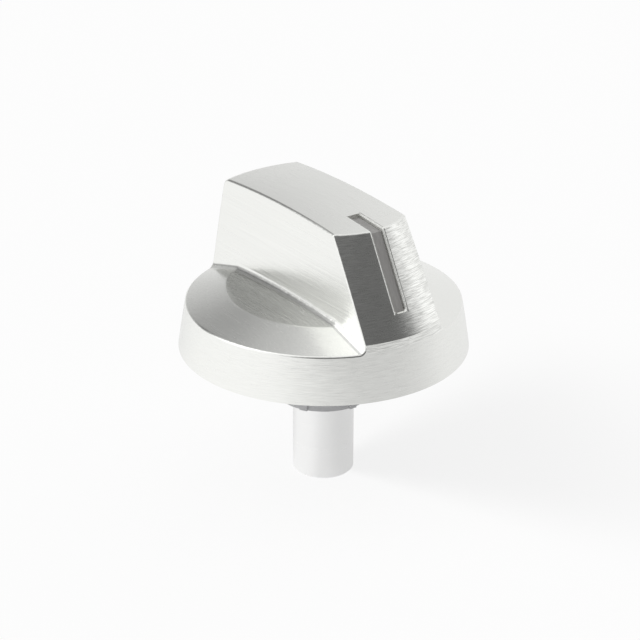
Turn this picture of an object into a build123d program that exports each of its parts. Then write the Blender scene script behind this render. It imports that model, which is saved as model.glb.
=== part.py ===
from build123d import *
from math import asin, degrees, hypot, radians, sqrt, tan
import os

os.makedirs("parts", exist_ok=True)

# Sizes in millimetres. The stem stands on Z = 0 and the pointer faces -Y.

# Skirt and disc
stem_length = 28.0        # stem below the lower rim of the skirt
skirt_radius = 29.0       # at the lower rim
skirt_height = 9.45       # lower rim to upper rim
skirt_lean = 1.5          # how far it leans in over that height
ring_width = 8.0          # sloping ring inside the upper rim
ring_rise = 2.5
disc_rise = 0.9           # crown of the disc inside the ring
shoulder_blend = 2.0      # between ring and crown

# Grip
grip_height = 20.3        # upper rim to both ends of the top face
grip_width = 17.3         # across the top face
grip_draft = 1.5          # lean of each side wall, degrees
rear_lean = 4.0           # rim to the rear end of the top face
front_foot = 1.9          # upper rim to the lower end of the front face
front_slope = 0.55        # run out per millimetre down the front face
top_crown = 1.0
root_radius = 1.4         # where the side walls meet the disc
edge_radius = 0.45
rear_edge_radius = 2.0    # rear end of the top face

# Pointer groove and its strip
groove_width = 2.55
groove_bevel = 0.3
groove_depth = 1.6
groove_run = 7.5          # front end of the top face to the rear end of the groove
groove_foot = 6.15        # upper rim to the lower end of the groove
groove_corner = 0.5       # at that end
strip_thickness = 0.8
strip_gap = 0.04

# Hollow underside of the casting
skirt_wall = 2.6
mouth_height = 3.5        # wider lower band inside the skirt
mouth_step = 1.2
deck_wall = 2.6           # under the ring of the disc
deck_radius = 18.5        # flat ceiling inside the skirt
core_wall = 3.2           # left round the two cores of the grip
core_web = 6.0            # left between them
core_corner = 1.5

# Screws, and the bosses that take them
screw_count = 4
screw_circle = 18.0
screw_radius = 1.25
screw_length = 4.4        # under the head
screw_head_radius = 2.7
screw_head_height = 1.8
screw_recess = 1.0        # head sunk into the carrier
drive_width = 0.8
drive_span = 3.2
drive_depth = 0.9
boss_wall = 1.3
boss_height = 2.0         # below the flat ceiling
screw_gap = 0.05

# Moulded carrier
plate_thickness = 2.6
plate_gap = 0.15
hub_radius = 9.6
hub_drop = 11.0           # lower rim of the skirt down to the end of the hub
rib_count = 6
rib_width = 1.6
rib_stand = 0.4           # ribs beyond the hub

# Moulded socket for the shaft
shaft_radius = 3.0
shaft_gap = 0.05          # round the flatted part of the shaft
round_gap = 0.4           # round its full part
round_depth = 6.0         # round part of the bore
flat_offset = 1.5         # axis to the flat of the shaft
flat_depth = 20.0         # whole bore
key_span = 6.4            # square end that turns the carrier
key_height = 4.0
key_gap = 0.05

# Metal sleeve pressed round the socket
stem_radius = 6.15
stem_wall = 1.25
stem_seat = 9.0           # neck of the sleeve inside the hub
neck_step = 0.3           # neck below the outside of the stem
stem_bevel = 0.4
stem_inset = 0.3          # socket above the end of the sleeve
press_gap = 0.03

# Leaf spring in the flat of the bore
clip_thickness = 0.4
clip_width = 3.0
clip_foot = 1.5           # above the round part of the bore
clip_length = 11.0
clip_bow = 0.3
clip_gap = 0.05

# Heights and radii that follow
over = 5.0                # how far cutters pass the outside
rim_radius = skirt_radius - skirt_lean
rim_z = stem_length + skirt_height
disc_radius = rim_radius - ring_width
disc_z = rim_z + ring_rise
top_z = rim_z + grip_height
rear_radius = rim_radius - rear_lean
front_reach = (rim_radius - front_foot * rear_lean / grip_height
               - (grip_height - front_foot) * front_slope)
groove_reach = front_reach - groove_run
high_z = top_z + top_crown + over
mouth_radius = skirt_radius - skirt_wall
mouth_z = stem_length + mouth_height
seat_radius = mouth_radius - mouth_step
deck_z = disc_z - deck_wall
eave_z = rim_z + (rim_radius - seat_radius) * ring_rise / ring_width - deck_wall
boss_z = deck_z - boss_height
plate_z = boss_z - plate_thickness
hub_z = stem_length - hub_drop
foot_z = rim_z + groove_foot

# Circle of the top face in side view, through its two ends and its crown
half_span = (rear_radius + front_reach) / 2
crown_radius = (half_span**2 + top_crown**2) / (2 * top_crown)
crown_y = (rear_radius - front_reach) / 2
crown_z = top_z + top_crown - crown_radius


def top_at(y):
    """Height of the top face in its middle."""
    return crown_z + sqrt(crown_radius**2 - (y - crown_y) ** 2)


def front_at(z):
    """Distance from the axis to the front face at height z."""
    return front_reach + (top_z - z) * front_slope


def grip_half_at(z):
    """Half width of the grip at height z."""
    return grip_width / 2 + (top_z - z) * tan(radians(grip_draft))


# Line of the pointer groove in side view
slant = hypot(1, front_slope)
climb = (top_at(-groove_reach) - top_z) / (front_reach - groove_reach)


def groove_line(depth):
    """Rear end, bend and foot of a line at this depth under the top and front faces."""
    bend_z = top_z - depth * (1 - climb * slant) / (1 - climb * front_slope)
    rear = (-groove_reach, top_z + climb * (front_reach - groove_reach) - depth)
    bend = (-front_at(bend_z) + depth * slant, bend_z)
    foot = (-front_at(foot_z) + depth / slant, foot_z - depth * front_slope / slant)
    return [rear, bend, foot]


def depth_of(point):
    """How deep a point lies under the top and front faces."""
    return min(top_at(point.Y) - point.Z, (point.Y + front_at(point.Z)) / slant)


# The two spaces beside the grip, with the ring, the crowned disc and the root radius
with BuildPart() as scoops:
    with BuildSketch(Plane.XZ) as above_disc:
        with BuildLine():
            crown = TangentArc((0, disc_z + disc_rise), (disc_radius, disc_z), tangent=(1, 0))
            Polyline(crown @ 1, (rim_radius + over, rim_z - over * ring_rise / ring_width),
                     (rim_radius + over, high_z), (0, high_z), crown @ 0)
        make_face()
        fillet(above_disc.vertices().sort_by_distance((disc_radius, disc_z))[0], shoulder_blend)
    revolve(axis=Axis.Z)
    with BuildSketch(Plane.XZ):
        with BuildLine():
            low = grip_half_at(stem_length)
            high = grip_half_at(high_z + over)
            Polyline((low, stem_length), (high, high_z + over), (-high, high_z + over),
                     (-low, stem_length), close=True)
        make_face()
    extrude(amount=skirt_radius + 2 * over, both=True, mode=Mode.SUBTRACT)
    walls = scoops.faces().filter_by(GeomType.PLANE).filter_by(lambda f: abs(f.normal_at().X) > 0.9)
    roots = walls.edges().filter_by(lambda e: e.center().Z < disc_z + disc_rise + 0.5)
    fillet(roots, root_radius)

with BuildPart() as knob_body:
    # Skirt and grip in one turned outline
    with BuildSketch(Plane.XZ):
        with BuildLine():
            bow = ThreePointArc((skirt_radius, stem_length), (rim_radius, rim_z), (rear_radius, top_z),
                                mode=Mode.PRIVATE)
            foot = degrees(asin((stem_length - bow.arc_center.Y) / bow.radius))
            tip = degrees(asin((high_z - bow.arc_center.Y) / bow.radius))
            flank = CenterArc((bow.arc_center.X, bow.arc_center.Y), bow.radius, foot, tip - foot)
            Polyline(flank @ 1, (0, high_z), (0, stem_length), flank @ 0)
        make_face()
    revolve(axis=Axis.Z)
    # Crowned top face
    with BuildSketch(Plane.YZ):
        sweep = degrees(asin((skirt_radius + over) / crown_radius))
        with BuildLine():
            top = CenterArc((crown_y, crown_z), crown_radius, 90 - sweep, 2 * sweep)
            Polyline(top @ 1, ((top @ 1).X, high_z + over), ((top @ 0).X, high_z + over), top @ 0)
        make_face()
    extrude(amount=skirt_radius + over, both=True, mode=Mode.SUBTRACT)
    # Conical front face
    with BuildSketch(Plane.XZ):
        low_z = top_z - (skirt_radius + over - front_reach) / front_slope
        with BuildLine():
            Polyline((front_at(high_z), high_z), (front_at(low_z), low_z),
                     (front_at(low_z) + over, low_z), (front_at(low_z) + over, high_z), close=True)
        make_face()
    revolve(axis=-Axis.Z, revolution_arc=180, mode=Mode.SUBTRACT)
    add(scoops.part, mode=Mode.SUBTRACT)
    # Rounded edges: the rear end of the top, then the others with the rim of the disc
    outer = knob_body.edges().filter_by(
        lambda e: e.center().Z > rim_z + grip_height / 3 and e.length > grip_height / 2)
    rear = outer.filter_by(lambda e: abs(e.center().X) < edge_radius).sort_by(Axis.Y)[-1]
    fillet(rear, rear_edge_radius)
    outer = knob_body.edges().filter_by(
        lambda e: e.center().Z > rim_z + grip_height / 3 and e.length > grip_height / 2)
    corners = outer.filter_by(lambda e: abs(e.center().X) > edge_radius or e.center().Y < 0)
    fillet(corners, edge_radius)

    # Pointer groove, with its mouth bevelled
    with BuildSketch(Plane.YZ):
        with BuildLine():
            Polyline(*groove_line(groove_depth), *reversed(groove_line(-over)), close=True)
        make_face()
    extrude(amount=groove_width / 2, both=True, mode=Mode.SUBTRACT)
    sides = knob_body.edges(Select.LAST).filter_by(lambda e: abs(e.center().X) > groove_width / 4)
    fillet(sides.sort_by(lambda e: abs(e.center().Z - foot_z))[:2], groove_corner)
    mouth = knob_body.edges(Select.LAST).filter_by(lambda e: depth_of(e.center()) < groove_bevel)
    chamfer(mouth, groove_bevel)
    # Hollow underside
    with BuildSketch(Plane.XZ):
        with BuildLine():
            Polyline((0, stem_length - over), (mouth_radius, stem_length - over), (mouth_radius, mouth_z),
                     (seat_radius, mouth_z), (seat_radius, eave_z), (deck_radius, deck_z), (0, deck_z),
                     close=True)
        make_face()
    revolve(axis=Axis.Z, mode=Mode.SUBTRACT)
    # Cores of the grip, one each side of the web
    core_z = groove_line(groove_depth)[1][1] - core_wall
    core_half = grip_width / 2 - core_wall
    low_half = grip_half_at(deck_z) - core_wall
    front_low = min(front_at(foot_z) - groove_depth, seat_radius) - core_wall
    for side, low_y, high_y in ((1, rear_radius - core_wall, rear_radius - core_wall),
                                (-1, front_low, front_at(core_z) - groove_depth - core_wall)):
        for height, reach, half in ((deck_z, low_y, low_half), (core_z, high_y, core_half)):
            with BuildSketch(Plane.XY.offset(height)):
                with Locations((0, side * (core_web / 2 + reach) / 2)):
                    RectangleRounded(2 * half, reach - core_web / 2, core_corner)
        loft(mode=Mode.SUBTRACT)
    # Screw bosses and their pilot holes
    with BuildSketch(Plane.XY.offset(boss_z)):
        with PolarLocations(screw_circle, screw_count, start_angle=180 / screw_count):
            Circle(screw_radius + boss_wall)
    extrude(amount=boss_height + boss_wall)
    with BuildSketch(Plane.XY.offset(boss_z)):
        with PolarLocations(screw_circle, screw_count, start_angle=180 / screw_count):
            Circle(screw_radius + screw_gap)
    extrude(amount=screw_length - (plate_thickness - screw_recess) + screw_gap, mode=Mode.SUBTRACT)
knob_body.part.label = "knob_body"
export_step(knob_body.part, "parts/knob_body.step")

# Strip bent round the pointer edge, on the floor of the groove
with BuildPart() as indicator_strip:
    with BuildSketch(Plane.YZ):
        with BuildLine():
            Polyline(*groove_line(groove_depth), *reversed(groove_line(groove_depth - strip_thickness)),
                     close=True)
        make_face()
    extrude(amount=groove_width / 2 - strip_gap, both=True)
    sides = indicator_strip.edges().filter_by(lambda e: abs(e.center().X) > groove_width / 4)
    fillet(sides.sort_by(lambda e: abs(e.center().Z - foot_z))[:2], groove_corner - strip_gap)
indicator_strip.part.label = "indicator_strip"
export_step(indicator_strip.part, "parts/indicator_strip.step")

# Carrier: a plate in the skirt, and a ribbed hub that takes the sleeve and the socket
neck_radius = stem_radius - neck_step
well_radius = neck_radius + press_gap
seat_z = hub_z + stem_seat
with BuildPart() as hub_carrier:
    with BuildSketch(Plane.XZ):
        with BuildLine():
            Polyline((0, seat_z), (well_radius, seat_z), (well_radius, hub_z), (hub_radius, hub_z),
                     (hub_radius, plate_z), (seat_radius - plate_gap, plate_z),
                     (seat_radius - plate_gap, boss_z), (hub_radius, boss_z), (hub_radius, deck_z),
                     (0, deck_z), close=True)
        make_face()
    revolve(axis=Axis.Z)
    # Ribs down the hub, one of them under the pointer
    with BuildSketch(Plane.XY.offset(hub_z)):
        with PolarLocations(hub_radius, rib_count, start_angle=-90):
            Rectangle(2 * rib_stand, rib_width)
    extrude(amount=plate_z - hub_z)
    # Square recess for the key of the socket
    with BuildSketch(Plane.XY.offset(seat_z)):
        Rectangle(key_span + 2 * key_gap, key_span + 2 * key_gap)
    extrude(amount=key_height + key_gap, mode=Mode.SUBTRACT)
    # Screw holes with sunk seats for the heads
    with BuildSketch(Plane.XY.offset(plate_z)):
        with PolarLocations(screw_circle, screw_count, start_angle=180 / screw_count):
            Circle(screw_radius + screw_gap)
    extrude(amount=plate_thickness, mode=Mode.SUBTRACT)
    with BuildSketch(Plane.XY.offset(plate_z)):
        with PolarLocations(screw_circle, screw_count, start_angle=180 / screw_count):
            Circle(screw_head_radius + 2 * screw_gap)
    extrude(amount=screw_recess, mode=Mode.SUBTRACT)
hub_carrier.part.label = "hub_carrier"
export_step(hub_carrier.part, "parts/hub_carrier.step")

with BuildPart() as shaft_socket:
    with BuildSketch(Plane.XY.offset(stem_inset)):
        Circle(stem_radius - stem_wall - press_gap)
    extrude(amount=seat_z - stem_inset)
    with BuildSketch(Plane.XY.offset(seat_z)):
        Rectangle(key_span, key_span)
    extrude(amount=key_height)
    # Bore: round at its mouth, then with a flat on the pointer side
    with BuildSketch(Plane.XY.offset(stem_inset)):
        Circle(shaft_radius + round_gap)
    extrude(amount=round_depth, mode=Mode.SUBTRACT)
    with BuildSketch(Plane.XY.offset(stem_inset + round_depth)):
        Circle(shaft_radius + shaft_gap)
        with Locations((0, -flat_offset - shaft_gap)):
            Rectangle(4 * shaft_radius, 2 * shaft_radius, align=(Align.CENTER, Align.MAX), mode=Mode.SUBTRACT)
    extrude(amount=flat_depth - round_depth, mode=Mode.SUBTRACT)
    # Pocket of the spring, open to the flat
    with BuildSketch(Plane.XZ.offset(flat_offset + shaft_gap)):
        with Locations((0, stem_inset + round_depth)):
            Rectangle(clip_width + 2 * clip_gap, clip_foot + clip_length + clip_gap,
                      align=(Align.CENTER, Align.MIN))
    extrude(amount=clip_thickness + clip_gap, mode=Mode.SUBTRACT)
shaft_socket.part.label = "shaft_socket"
export_step(shaft_socket.part, "parts/shaft_socket.step")

with BuildPart() as stem_sleeve:
    with BuildSketch(Plane.XZ):
        with BuildLine():
            Polyline((stem_radius - stem_wall, 0), (stem_radius - stem_bevel, 0), (stem_radius, stem_bevel),
                     (stem_radius, hub_z), (neck_radius, hub_z), (neck_radius, seat_z),
                     (stem_radius - stem_wall, seat_z), close=True)
        make_face()
    revolve(axis=Axis.Z)
stem_sleeve.part.label = "stem_sleeve"
export_step(stem_sleeve.part, "parts/stem_sleeve.step")

# Leaf spring, bowed towards the shaft between two flat feet
clip_z = stem_inset + round_depth + clip_foot
with BuildPart() as spring_clip:
    with BuildSketch(Plane.YZ):
        with BuildLine():
            back = -flat_offset - shaft_gap - clip_thickness
            quarter = clip_length / 4
            Polyline((back, clip_z), (back, clip_z + clip_length), (back + clip_thickness, clip_z + clip_length),
                     (back + clip_thickness, clip_z + 3 * quarter))
            ThreePointArc((back + clip_thickness, clip_z + 3 * quarter),
                          (back + clip_thickness + clip_bow, clip_z + 2 * quarter),
                          (back + clip_thickness, clip_z + quarter))
            Polyline((back + clip_thickness, clip_z + quarter), (back + clip_thickness, clip_z), (back, clip_z))
        make_face()
    extrude(amount=clip_width / 2, both=True)
spring_clip.part.label = "spring_clip"
export_step(spring_clip.part, "parts/spring_clip.step")

# Screws, from below through the plate into the bosses
head_z = plate_z + screw_recess
screw_places = list(PolarLocations(screw_circle, screw_count, start_angle=180 / screw_count))
for number, place in enumerate(screw_places, 1):
    with BuildPart() as carrier_screw:
        with BuildSketch(Plane.XY.offset(head_z - screw_head_height)):
            with Locations(place.position):
                Circle(screw_head_radius)
        extrude(amount=screw_head_height)
        chamfer(carrier_screw.edges().group_by(Axis.Z)[0], screw_head_height / 3)
        with BuildSketch(Plane.XY.offset(head_z)):
            with Locations(place.position):
                Circle(screw_radius)
        extrude(amount=screw_length)
        with BuildSketch(Plane.XY.offset(head_z - screw_head_height)):
            with Locations(place.position):
                Rectangle(drive_span, drive_width)
                Rectangle(drive_width, drive_span)
        extrude(amount=drive_depth, mode=Mode.SUBTRACT)
    carrier_screw.part.label = f"carrier_screw_{number}"
    export_step(carrier_screw.part, f"parts/carrier_screw_{number}.step")
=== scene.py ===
import bpy
import math
import numpy as np
from mathutils import Matrix, Vector


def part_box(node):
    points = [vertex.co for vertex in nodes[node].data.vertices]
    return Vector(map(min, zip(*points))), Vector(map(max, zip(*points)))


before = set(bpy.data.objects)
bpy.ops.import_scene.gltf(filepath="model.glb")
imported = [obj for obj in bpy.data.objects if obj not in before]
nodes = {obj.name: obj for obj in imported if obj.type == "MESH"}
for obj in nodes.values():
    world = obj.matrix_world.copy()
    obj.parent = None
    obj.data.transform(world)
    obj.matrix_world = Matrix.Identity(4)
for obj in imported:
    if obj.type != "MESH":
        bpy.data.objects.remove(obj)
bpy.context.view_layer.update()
print("frame loaded:", len(nodes), "nodes")

# Camera, fitted to the photograph: metres and degrees
cameraSet = {
    "heading": 36.3,       # from the pointer towards the left side of the grip
    "lookDown": 24.66,
    "distance": 0.49157,   # along the view, to the foot of the stem
    "rise": 0.02962,       # view axis above the foot of the stem
    "side": -0.00074,      # view axis to its right
    "roll": 0.18,
    "pictures": 3.75,      # focal length in picture widths
    "nearest": 0.01,       # nothing closer than this is seen
}


def makeCamera(values):
    turn = math.radians(values["heading"])
    down = math.radians(values["lookDown"])
    ahead = Vector((math.sin(turn) * math.cos(down), math.cos(turn) * math.cos(down), -math.sin(down)))
    right = ahead.cross(Vector((0, 0, 1))).normalized()
    up = right.cross(ahead)
    lens = bpy.data.cameras.new("camera")
    lens.lens = lens.sensor_width * values["pictures"]
    lens.clip_start = values["nearest"]
    camera = bpy.data.objects.new("camera", lens)
    place = up * values["rise"] + right * values["side"] - ahead * values["distance"]
    axes = Matrix((right, up, -ahead)).transposed().to_4x4()
    roll = Matrix.Rotation(math.radians(values["roll"]), 4, "Z")
    camera.matrix_world = Matrix.Translation(place) @ axes @ roll
    bpy.context.scene.collection.objects.link(camera)
    bpy.context.scene.camera = camera


makeCamera(cameraSet)
print("camera placed")


# A shader value. Sums, products and powers of it add Math nodes, and node() adds any other node.
class Wire:
    def __init__(self, tree, socket=None):
        self.tree = tree
        self.socket = socket

    # Adds a node of this type with its settings, then the values or links of its sockets,
    # and gives back one of its outputs
    def node(self, kind, settings=None, inputs=None, output=0):
        made = self.tree.nodes.new(kind)
        for name, value in (settings or {}).items():
            setattr(made, name, value)
        for name, value in (inputs or {}).items():
            if isinstance(value, Wire):
                self.tree.links.new(value.socket, made.inputs[name])
            else:
                made.inputs[name].default_value = value
        return Wire(self.tree, made.outputs[output] if len(made.outputs) else None)

    def maths(self, operation, *values):
        return self.node("ShaderNodeMath", {"operation": operation}, dict(enumerate(values)))

    def __add__(self, other):
        return self.maths("ADD", self, other)

    def __sub__(self, other):
        return self.maths("SUBTRACT", self, other)

    def __rsub__(self, other):
        return self.maths("SUBTRACT", other, self)

    def __mul__(self, other):
        return self.maths("MULTIPLY", self, other)

    def __truediv__(self, other):
        return self.maths("DIVIDE", self, other)

    def __rtruediv__(self, other):
        return self.maths("DIVIDE", other, self)

    def __pow__(self, other):
        return self.maths("POWER", self, other)

    def __rpow__(self, other):
        return self.maths("POWER", other, self)

    def __abs__(self):
        return self.maths("ABSOLUTE", self)

    __radd__ = __add__
    __rmul__ = __mul__

    # 0 below the edge and 1 above it, with a smooth step of this width
    def above(self, edge, blur):
        return self.node("ShaderNodeMapRange", {"interpolation_type": "SMOOTHSTEP"},
                         {"Value": self, "From Min": edge - blur / 2, "From Max": edge + blur / 2})

    def vector(self, operation, *values, output=0):
        inputs = dict(enumerate(values))
        return self.node("ShaderNodeVectorMath", {"operation": operation}, inputs, output)

    def dot(self, other):
        return self.vector("DOT_PRODUCT", self, other, output="Value")

    def scaled(self, factor):
        return self.node("ShaderNodeVectorMath", {"operation": "SCALE"}, {0: self, "Scale": factor})

    def split(self):
        parts = self.node("ShaderNodeSeparateXYZ", None, {0: self})
        return [Wire(self.tree, part) for part in parts.socket.node.outputs]

    def join(self, x, y, z):
        return self.node("ShaderNodeCombineXYZ", None, {0: x, 1: y, 2: z})

    # Sockets 6 and 7 of a Mix node are its two colours, and output 2 is the mixed one
    def blend(self, factor, first, second):
        return self.node("ShaderNodeMix", {"data_type": "RGBA"}, {0: factor, 6: first, 7: second}, 2)

    # Noise from 0 to 1, with its middle at 0.5 and a wave about as long as one unit of the place
    def noise(self, place, detail):
        return self.node("ShaderNodeTexNoise", None, {"Vector": place, "Scale": 1.0, "Detail": detail})


def newMaterial(name):
    material = bpy.data.materials.new(name)
    material.use_nodes = True
    material.node_tree.nodes.clear()
    return material, Wire(material.node_tree)


# The Principled shader with these sockets, joined to the output
def closeMaterial(start, inputs):
    shader = start.node("ShaderNodeBsdfPrincipled", None, inputs)
    start.node("ShaderNodeOutputMaterial", None, {"Surface": shader})


# Brushed plating of the casting. The strokes run along the grip on the disc, the walls and the top, and
# round the axis on the skirt and on the two end faces of the grip, where they are strongest. A stroke
# leans the normal along it and across it, and is duller and rougher where it is deep. Outside its bevel
# the edge of the groove is rolled a little towards it, and the bevel is left as it was cut.
castingSet = {
    "light": (0.995, 1.0, 0.972, 1),
    "dark": (0.735, 0.74, 0.715, 1),
    "middle": 0.33,               # how far the tint lies from light to dark between the strokes
    "contrast": 4.0,              # of the strokes' tint on the end faces
    "calmContrast": 0.25,         # and elsewhere
    "roughness": 0.22,
    "depth": 0.30,                # how much rougher a deep stroke is
    "lean": {"along": 0.18, "across": 0.16},
    "calm": 0.4,                  # share of this lean on all but the end faces
    "starts": {"along": 3.7, "across": 9.1, "depth": -5.3},   # in the noise, so that the waves differ
    "detail": 2.0,
    "width": 0.00016,             # of a stroke, metres
    "straight": 0.022,            # length of the strokes along the grip
    "round": 0.0026,              # length of the strokes round the axis
    "turnRadius": 0.025,          # radius at which these have that length
    "flat": (0.75, 0.1),          # upward share of the normal from which a face is flat, and its blur
    "wall": (0.93, 0.04),         # sideways share of it on the grip's walls
    "cut": (0.45, 0.1),           # and on the bevel
    "skirt": 0.0096,              # casting's lower edge to just above its skirt
    "skirtBlur": 0.0004,
    "crown": 0.00375,             # from the grip's top down to below its top face
    "crownBlur": 0.001,
    "pillow": 6.0,                # how fast the top face leans out to its sides, radians a metre
    "bevel": 0.00034,             # strip to the mouth of the groove
    "bevelRoughness": 0.62,
    "foot": 0.0005,               # lowest corner of the strip to the lower end of the mouth
    "roll": 0.6,
    "rollWidth": 0.00022,
}


# Shares of the groove's rolled edge, just outside its mouth, and of its bevel, inside the mouth
def grooveEdges(x, y, z, values):
    low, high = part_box("indicator_strip")
    mouth, width = high[0] + values["bevel"], values["rollWidth"]
    rolled = abs(x).above(mouth - width / 4, width / 2) * (1 - abs(x).above(mouth + width / 2, width))
    rolled = rolled * (1 - y.above(high[1] + width, width)) * z.above(low[2] + values["foot"], width)
    return rolled, 1 - abs(x).above(mouth, width / 2)


def brushedCasting(values):
    material, start = newMaterial("brushedCasting")
    place = start.node("ShaderNodeTexCoord", None, None, "Object")
    normal = start.node("ShaderNodeNewGeometry", None, None, "Normal")
    x, y, z = place.split()
    sideways, _, upward = normal.split()
    low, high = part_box("knob_body")

    # Shares of the faces with strokes along the grip and round the axis, and of the grip's end faces
    flat = upward.above(*values["flat"])
    upper = z.above(low[2] + values["skirt"], values["skirtBlur"])
    wall = abs(sideways).above(*values["wall"]) * upper
    straight = 1 - (1 - flat) * (1 - wall)
    turned = 1 - straight
    face = turned * upper

    # Directions along a stroke and across it, and places in the noise along, across and under it
    radius = (x * x + y * y) ** 0.5
    arc = x.maths("ARCTAN2", x, y) * values["turnRadius"]
    stroke = start.join(turned * y / radius, straight - turned * x / radius, 0.0)
    aside = normal.vector("CROSS_PRODUCT", normal, stroke)
    along = y / values["straight"] * straight + arc / values["round"] * turned
    across = (x * straight + z * turned) / values["width"]
    under = (z * straight + radius * turned) / values["width"]

    def wave(name):
        shifted = start.join(along + values["starts"][name], across, under)
        return start.noise(shifted, values["detail"]) - 0.5

    # Lean of the normal: the top's crown, the strokes, and the rolled edge of the groove
    crown = flat * z.above(high[2] - values["crown"], values["crownBlur"]) * values["pillow"]
    lean = normal.vector("ADD", normal, start.join(x * crown, 0.0, 0.0))
    strength = values["calm"] + face * (1 - values["calm"])
    for name, direction in (("along", stroke), ("across", aside)):
        lean = lean.vector("ADD", lean, direction.scaled(wave(name) * values["lean"][name] * strength))
    rolled, cut = grooveEdges(x, y, z, values)
    lean = lean.vector("ADD", lean, start.join(x / abs(x) * rolled * -values["roll"], 0.0, 0.0))

    depth = wave("depth")
    bevel = cut * abs(sideways).above(*values["cut"]) * (1 - wall)
    rough = values["roughness"] + depth * values["depth"]
    rough = rough + bevel * (values["bevelRoughness"] - rough)
    contrast = values["calmContrast"] + face * (values["contrast"] - values["calmContrast"])
    tint = start.blend(values["middle"] + depth * contrast, values["light"], values["dark"])
    closeMaterial(start, {"Base Color": tint, "Metallic": 1.0, "Roughness": rough,
                          "Normal": lean.vector("NORMALIZE", lean)})
    return material


grainDetail = 3.0   # of the noise in the finishes below


# Noise with grains of this length in x, y and z, and the bump that they make
def grainAndBump(start, values):
    place = start.node("ShaderNodeTexCoord", None, None, "Object")
    grain = start.noise(place.vector("DIVIDE", place, values["grain"]), grainDetail)
    bump = start.node("ShaderNodeBump", None,
                      {"Strength": values["bump"], "Distance": values["height"], "Height": grain})
    return grain, bump


# Plastic of one roughness, tinted by its grain
def grainedPlastic(name, values):
    material, start = newMaterial(name)
    grain, bump = grainAndBump(start, values)
    tint = start.blend(grain, values["dark"], values["light"])
    closeMaterial(start, {"Base Color": tint, "Roughness": values["roughness"], "Normal": bump})
    return material


# Metal of one colour, made rougher and smoother by its grain
def grainedMetal(name, values):
    material, start = newMaterial(name)
    grain, bump = grainAndBump(start, values)
    rough = values["roughness"] + (grain - 0.5) * values["uneven"]
    closeMaterial(start, {"Base Color": values["colour"], "Metallic": 1.0, "Roughness": rough,
                          "Normal": bump})
    return material


# Grey strip with a fine grain along it, in metres
stripSet = {
    "dark": (0.33, 0.322, 0.315, 1),
    "light": (0.54, 0.53, 0.515, 1),
    "roughness": 0.45,
    "grain": (0.00014, 0.002, 0.002),
    "height": 0.00002,
    "bump": 0.4,
}

# Carrier and shaft socket, moulded in one grey with an even grain
mouldedSet = {
    "dark": (0.66, 0.66, 0.67, 1),
    "light": (0.72, 0.72, 0.73, 1),
    "roughness": 0.45,
    "grain": (1 / 4500, 1 / 4500, 1 / 4500),
    "height": 0.00001,
    "bump": 0.3,
}

# Turned sleeve of the stem: fine rings round the axis
sleeveSet = {
    "colour": (0.93, 0.93, 0.925, 1),
    "roughness": 0.30,
    "uneven": 0.12,               # how much the grain changes it
    "grain": (0.01, 0.01, 0.0002),
    "height": 0.00002,
    "bump": 0.25,
}

# Spring clip, with an even grain
clipSet = {
    "colour": (0.55, 0.55, 0.54, 1),
    "roughness": 0.3,
    "uneven": 0.1,
    "grain": (1 / 3000, 1 / 3000, 1 / 3000),
    "height": 0.00001,
    "bump": 0.2,
}

# Plated screws of the carrier, with the clip's grain
screwSet = dict(clipSet, colour=(0.66, 0.66, 0.64, 1))


# Gives a CAD node its one finish
def dress(name, material):
    mesh = nodes[name].data
    mesh.materials.clear()
    mesh.materials.append(material)


dress("knob_body", brushedCasting(castingSet))
dress("indicator_strip", grainedPlastic("pointerGrey", stripSet))
moulded = grainedPlastic("mouldedGrey", mouldedSet)
dress("hub_carrier", moulded)
dress("shaft_socket", moulded)
dress("stem_sleeve", grainedMetal("satinSteel", sleeveSet))
dress("spring_clip", grainedMetal("springSteel", clipSet))
plated = grainedMetal("platedSteel", screwSet)
for name in nodes:
    if name.startswith("carrier_screw"):
        dress(name, plated)
print("finishes set")

# The studio is one soft surround with screens and a lamp in it. Each has its azimuth from the rear and
# its half width, its lower and upper edge, the blur of its sides and of these edges, all in degrees,
# and its light.
studioSet = {
    "surround": 1.03,
    "screens": {
        "rear": {"turn": -19, "half": 45, "low": 12, "high": 66, "side": 50, "edge": 52, "light": 0.22},
        "front": {"turn": 186, "half": 55, "low": -12.5, "high": 60, "side": 32, "edge": 64,
                  "light": 0.12},
        "right": {"turn": 64, "half": 44, "low": -6, "high": 98, "side": 8, "edge": 46, "light": 0.86},
        "lamp": {"turn": -50, "half": 20.5, "low": 10, "high": 69, "side": 45, "edge": 46, "light": 2.25},
        "besideLamp": {"turn": -32.5, "half": 13.5, "low": 0, "high": 41, "side": 16, "edge": 16,
                       "light": 0.34},
    },
    "backdrop": 0.985,            # what the camera sees behind the paper
}


# Level direction at this azimuth from the rear, in degrees
def towards(turn):
    return Vector((math.sin(math.radians(turn)), math.cos(math.radians(turn)), 0))


def makeWorld(values):
    world = bpy.data.worlds.new("studio")
    bpy.context.scene.world = world
    world.use_nodes = True
    world.node_tree.nodes.clear()
    start = Wire(world.node_tree)
    way = start.node("ShaderNodeTexCoord", None, None, "Generated")
    rise = way.maths("ARCSINE", way.split()[2]) * math.degrees(1)
    level = values["surround"]
    for screen in values["screens"].values():
        ahead = way.dot(towards(screen["turn"]))
        aside = way.dot(towards(screen["turn"] + 90))
        turn = abs(way.maths("ARCTAN2", aside, ahead)) * math.degrees(1)
        across = 1 - turn.above(screen["half"], screen["side"])
        inside = across * rise.above(screen["low"], screen["edge"])
        inside = inside * (1 - rise.above(screen["high"], screen["edge"]))
        level = level + inside * (screen["light"] - values["surround"])
    level = level.maths("MAXIMUM", level, 0.0)   # two dark screens can overlap
    toCamera = start.node("ShaderNodeLightPath", None, None, "Is Camera Ray")
    level = level + toCamera * (values["backdrop"] - level)
    light = start.node("ShaderNodeBackground", None, {"Color": level})
    start.node("ShaderNodeOutputWorld", None, {"Surface": light})


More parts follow.
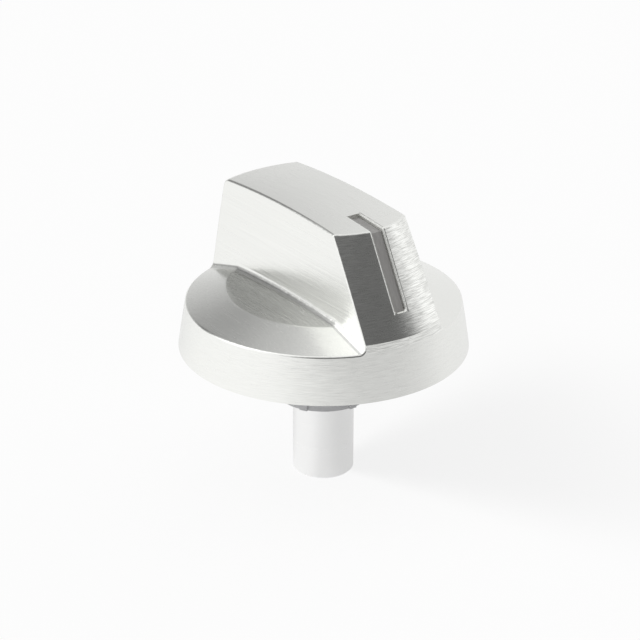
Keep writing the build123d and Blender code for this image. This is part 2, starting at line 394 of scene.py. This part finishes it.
# White paper. The camera and the metal see it with its shadow softened by an even glow, which for the
# camera carries a painted shadow to the right of the stem. The metal sees it with painted shade in front,
# painted light to the left, and a painted shadow near the stem where the shadow falls. A side has its
# azimuth from the rear, the edge and the blur of its reach as cosines from there, and its share of the
# glow.
floorSet = {
    "half": 3.0,                  # metres
    "paper": 0.82,
    "shadowed": 0.1,              # share of its white that a shadow can take away
    "glow": 0.905,
    "mirroredGlow": 0.81,
    # painted shade in the paper that the metal sees, in front
    "front": {"turn": 173, "edge": 0.83, "blur": 0.6, "share": -0.264},
    # painted light in it to the left
    "left": {"turn": -73, "edge": 0.65, "blur": 0.7, "share": 0.17},
    # painted shadow in it near the stem
    "shade": {"turn": 133, "edge": 0.5, "blur": 1.0, "share": -0.165},
    # painted shadow in the paper that the camera sees, to the right of the stem
    "right": {"turn": 115, "edge": 0.8, "blur": 0.3, "share": -0.075},
    "near": (0.07, 0.06),         # how far from the stem the shadow falls, and its blur, metres
}


# How much of a side's share of painted shade or light lies in this direction from the stem
def sideShare(bearing, side):
    return bearing.dot(towards(side["turn"])).above(side["edge"], side["blur"]) * side["share"]


def floorPaper(values):
    material, start = newMaterial("floorPaper")
    place = start.node("ShaderNodeTexCoord", None, None, "Object")
    bearing = place.vector("NORMALIZE", place)
    far = place.vector("LENGTH", place, output="Value").above(*values["near"])
    toCamera = start.node("ShaderNodeLightPath", None, None, "Is Camera Ray")
    toMetal = start.node("ShaderNodeLightPath", None, None, "Is Glossy Ray")
    # Painted shade and light in the glow: for the metal, painted shade in front, painted light to the
    # left and a painted shadow near the stem; for the camera, a painted shadow to the right of the stem
    mirroredPaintedShadeAndLight = 1 + sideShare(bearing, values["front"]) * far + sideShare(bearing, values["left"])
    mirroredPaintedShadeAndLight = mirroredPaintedShadeAndLight + sideShare(bearing, values["shade"]) * (1 - far)
    seenPaintedShadow = (1 + sideShare(bearing, values["right"]) * (1 - far)) * values["glow"]
    glow = toCamera * seenPaintedShadow + toMetal * mirroredPaintedShadeAndLight * values["mirroredGlow"]
    white = values["paper"] - (toCamera + toMetal) * (values["paper"] - values["shadowed"])
    diffuse = start.node("ShaderNodeBsdfDiffuse", None, {"Color": white})
    emission = start.node("ShaderNodeEmission", None, {"Color": glow})
    both = start.node("ShaderNodeAddShader", None, {0: diffuse, 1: emission})
    start.node("ShaderNodeOutputMaterial", None, {"Surface": both})
    return material


# A flat square under the stem, with its corners at plus and minus the half width
def makeFloor(values):
    side = np.array([-1, 1]) * values["half"]
    x, y = np.meshgrid(side, side)
    corners = np.stack([x, y, 0 * x], axis=2).reshape(4, 3)
    mesh = bpy.data.meshes.new("floor")
    mesh.from_pydata(corners.tolist(), [], [(0, 1, 3, 2)])
    mesh.materials.append(floorPaper(values))
    floor = bpy.data.objects.new("floor", mesh)
    bpy.context.scene.collection.objects.link(floor)


makeWorld(studioSet)
makeFloor(floorSet)
print("studio made")

bpy.context.scene.view_settings.view_transform = "Standard"
